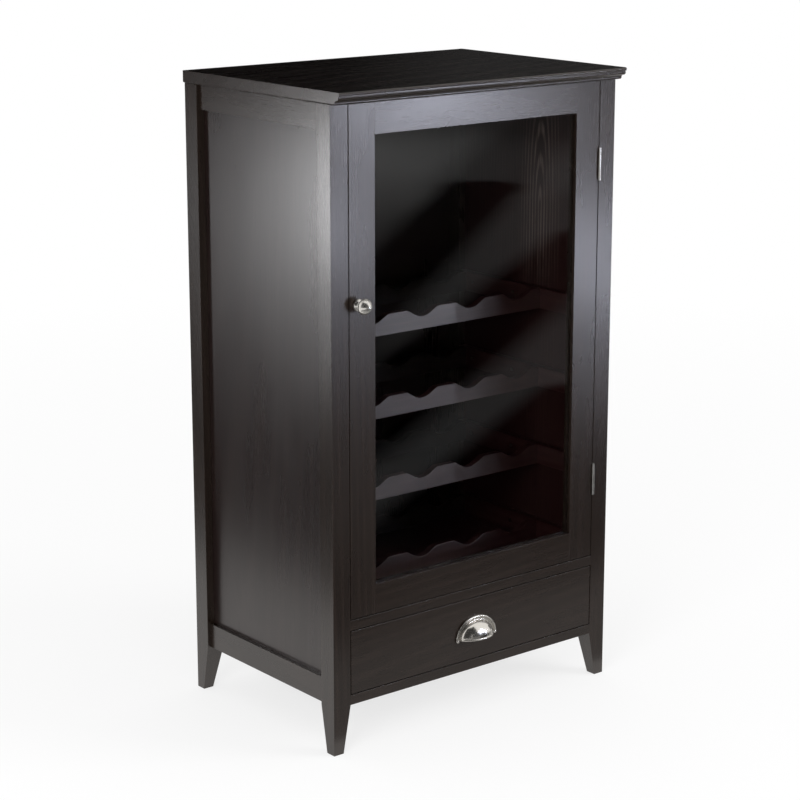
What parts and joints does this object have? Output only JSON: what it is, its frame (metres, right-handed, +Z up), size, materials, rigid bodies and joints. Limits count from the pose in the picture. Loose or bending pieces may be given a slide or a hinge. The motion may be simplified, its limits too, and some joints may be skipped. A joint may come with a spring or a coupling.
{
  "type": "wine cabinet",
  "caption": "Dark wood wine cabinet with a framed glass door over a drawer, notched bottle racks inside, recessed side panels, a moulded top and short tapered feet.",
  "frame": {"origin": "floor level, under the middle of the overall width and depth", "axes": "+X to the right seen from the front, +Y to the back, +Z up; the door and the drawer face -Y"},
  "size_m": [0.532, 0.3786, 0.952],
  "materials": {
    "espresso_wood": "satin lacquer over a near-black brown stain",
    "inner_wood": "thin lacquer over a dark brown stain",
    "panel_board": "satin lacquer over a near-black brown stain",
    "nickel": "polished nickel plate",
    "hinge_steel": "nickel-plated steel",
    "clear_glass": "clear",
    "catch_plastic": "moulded"
  },
  "bodies": {
    "carcass": {"top_panel": "espresso_wood", "leg_front_left": "espresso_wood", "leg_front_right": "espresso_wood", "leg_back_left": "espresso_wood", "leg_back_right": "espresso_wood", "side_panel_left": "panel_board", "side_top_rail_left": "espresso_wood", "side_bottom_rail_left": "espresso_wood", "side_panel_right": "panel_board", "side_top_rail_right": "espresso_wood", "side_bottom_rail_right": "espresso_wood", "back_top_rail": "espresso_wood", "back_bottom_rail": "espresso_wood", "back_panel": "panel_board", "front_top_rail": "inner_wood", "front_middle_rail": "espresso_wood", "front_bottom_rail": "espresso_wood", "compartment_floor": "inner_wood", "hinge_frame_leaf_top": "hinge_steel", "hinge_pin_top": "hinge_steel", "hinge_frame_leaf_bottom": "hinge_steel", "hinge_pin_bottom": "hinge_steel", "door_catch": "catch_plastic", "drawer_runner_left": "inner_wood", "drawer_runner_right": "inner_wood", "rack_front_rail_1": "inner_wood", "rack_back_rail_1": "inner_wood", "rack_cleat_left_1": "inner_wood", "rack_cleat_right_1": "inner_wood", "rack_front_rail_2": "inner_wood", "rack_back_rail_2": "inner_wood", "rack_cleat_left_2": "inner_wood", "rack_cleat_right_2": "inner_wood", "rack_front_rail_3": "inner_wood", "rack_back_rail_3": "inner_wood", "rack_cleat_left_3": "inner_wood", "rack_cleat_right_3": "inner_wood", "rack_front_rail_4": "inner_wood", "rack_back_rail_4": "inner_wood", "rack_cleat_left_4": "inner_wood", "rack_cleat_right_4": "inner_wood"},
    "door": {"door_stile_left": "espresso_wood", "door_stile_right": "espresso_wood", "door_rail_top": "espresso_wood", "door_rail_bottom": "espresso_wood", "door_glass": "clear_glass", "glass_bead_left": "espresso_wood", "glass_bead_right": "espresso_wood", "glass_bead_top": "espresso_wood", "glass_bead_bottom": "espresso_wood", "door_knob": "nickel", "hinge_door_leaf_top": "hinge_steel", "hinge_door_leaf_bottom": "hinge_steel", "catch_strike_plate": "hinge_steel"},
    "drawer": {"drawer_front": "espresso_wood", "drawer_side_left": "inner_wood", "drawer_side_right": "inner_wood", "drawer_back": "inner_wood", "drawer_bottom": "panel_board", "cup_pull": "nickel"}
  },
  "joints": [
    {"name": "door_hinge", "type": "hinge", "parent": "carcass", "child": "door", "pos_m": [0.23425, -0.1655, 0.566], "axis": [0, 0, 1], "range_deg": [0, 165]},
    {"name": "drawer_slide", "type": "slide", "parent": "carcass", "child": "drawer", "axis": [0, -1, 0], "range_m": [0, 0.23]}
  ]
}
